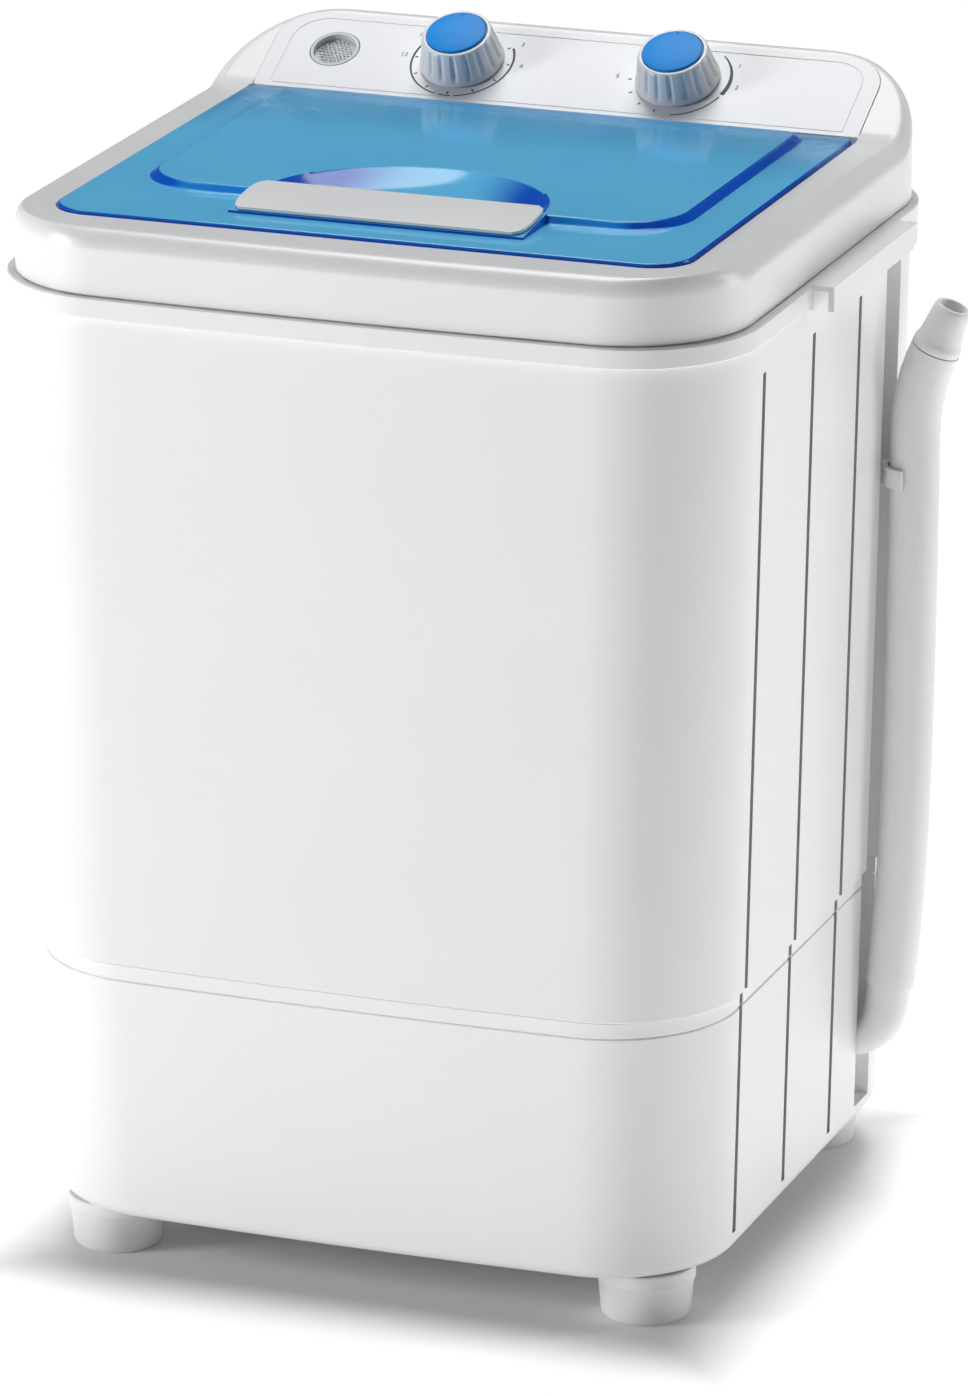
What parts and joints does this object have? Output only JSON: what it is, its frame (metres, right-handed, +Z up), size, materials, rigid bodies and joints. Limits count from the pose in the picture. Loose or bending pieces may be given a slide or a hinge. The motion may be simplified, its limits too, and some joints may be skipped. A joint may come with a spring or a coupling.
{
  "type": "portable washing machine",
  "caption": "White single-tub portable washing machine with a blue translucent lid, two timer knobs, a removable spin basket and a drain hose on its side.",
  "frame": {"origin": "centre of the footprint, on the floor under the feet", "axes": "+X to the right of the machine as its user faces it, -Y out of the front, +Z up"},
  "size_m": [0.4396, 0.3748, 0.5868],
  "materials": {
    "white_plastic": "gloss moulded",
    "grey_plastic": "satin moulded",
    "blue_clear_plastic": "translucent blue, gloss",
    "blue_plastic": "gloss moulded",
    "tub_plastic": "smooth moulded",
    "hose_plastic": "flexible, satin",
    "galvanised_steel": "zinc plated",
    "turned_steel": "turned and polished",
    "cast_alloy": "as cast",
    "bronze": "sintered",
    "black_rubber": "matte"
  },
  "bodies": {
    "cabinet": {"outer_casing": "white_plastic", "base_skirt": "white_plastic", "top_cover": "white_plastic", "control_panel": "white_plastic", "rear_cover": "white_plastic", "bottom_plate": "grey_plastic", "foot_1": "grey_plastic", "foot_2": "grey_plastic", "foot_3": "grey_plastic", "foot_4": "grey_plastic", "water_inlet_cup": "grey_plastic", "cord_gland": "black_rubber", "rear_cover_screw_1": "galvanised_steel", "rear_cover_screw_2": "galvanised_steel", "rear_cover_screw_3": "galvanised_steel", "rear_cover_screw_4": "galvanised_steel", "hinge_pin_left": "turned_steel", "hinge_pin_right": "turned_steel", "wash_timer_body": "grey_plastic", "spin_timer_body": "grey_plastic", "wash_tub": "tub_plastic", "shaft_housing": "cast_alloy", "upper_bushing": "bronze", "lower_bushing": "bronze", "shaft_seal": "black_rubber", "drive_belt": "black_rubber", "motor_stator": "galvanised_steel", "motor_top_cap": "cast_alloy", "motor_bottom_cap": "cast_alloy", "drive_plate": "galvanised_steel", "drive_plate_screw_1": "galvanised_steel", "drive_plate_screw_2": "galvanised_steel", "drive_plate_screw_3": "galvanised_steel", "drive_plate_screw_4": "galvanised_steel", "run_capacitor": "grey_plastic", "drain_elbow": "grey_plastic", "drain_hose": "hose_plastic", "hose_nozzle": "hose_plastic", "hose_clip": "white_plastic"},
    "lid_body": {"lid": "blue_clear_plastic", "lid_handle": "white_plastic", "lid_hinge_left": "blue_clear_plastic", "lid_hinge_right": "blue_clear_plastic"},
    "wash_knob": {"wash_timer_knob": "white_plastic", "wash_knob_cap": "blue_plastic", "wash_timer_shaft": "grey_plastic"},
    "spin_knob": {"spin_timer_knob": "white_plastic", "spin_knob_cap": "blue_plastic", "spin_timer_shaft": "grey_plastic"},
    "wash_drive": {"pulsator": "blue_plastic", "pulsator_screw": "turned_steel", "drive_shaft": "turned_steel", "driven_pulley": "cast_alloy", "pulley_nut": "galvanised_steel"},
    "basket": {"spin_basket": "tub_plastic"},
    "motor_rotor": {"motor_shaft": "turned_steel", "motor_pulley": "cast_alloy"}
  },
  "joints": [
    {"name": "lid_hinge", "type": "hinge", "parent": "cabinet", "child": "lid_body", "pos_m": [0, 0.1134, 0.5426], "axis": [-1, 0, 0], "range_deg": [0, 92]},
    {"name": "wash_timer", "type": "hinge", "parent": "cabinet", "child": "wash_knob", "pos_m": [-0.059, 0.1495, 0.56175], "axis": [0, 0.4695, -0.8829], "range_deg": [0, 300]},
    {"name": "spin_timer", "type": "hinge", "parent": "cabinet", "child": "spin_knob", "pos_m": [0.059, 0.1495, 0.56175], "axis": [0, 0.4695, -0.8829], "range_deg": [0, 270]},
    {"name": "pulsator_spin", "type": "hinge", "parent": "cabinet", "child": "wash_drive", "pos_m": [0, -0.008, 0.2], "axis": [0, 0, 1], "continuous": true},
    {"name": "basket_lift", "type": "slide", "parent": "wash_drive", "child": "basket", "axis": [0, 0, 1], "range_m": [0, 0.1]},
    {"name": "motor_spin", "type": "hinge", "parent": "cabinet", "child": "motor_rotor", "pos_m": [-0.1, -0.048, 0.1], "axis": [0, 0, 1], "continuous": true}
  ],
  "couplings": [
    {"joint": "motor_spin", "follows": "pulsator_spin", "ratio": 3.1932}
  ]
}
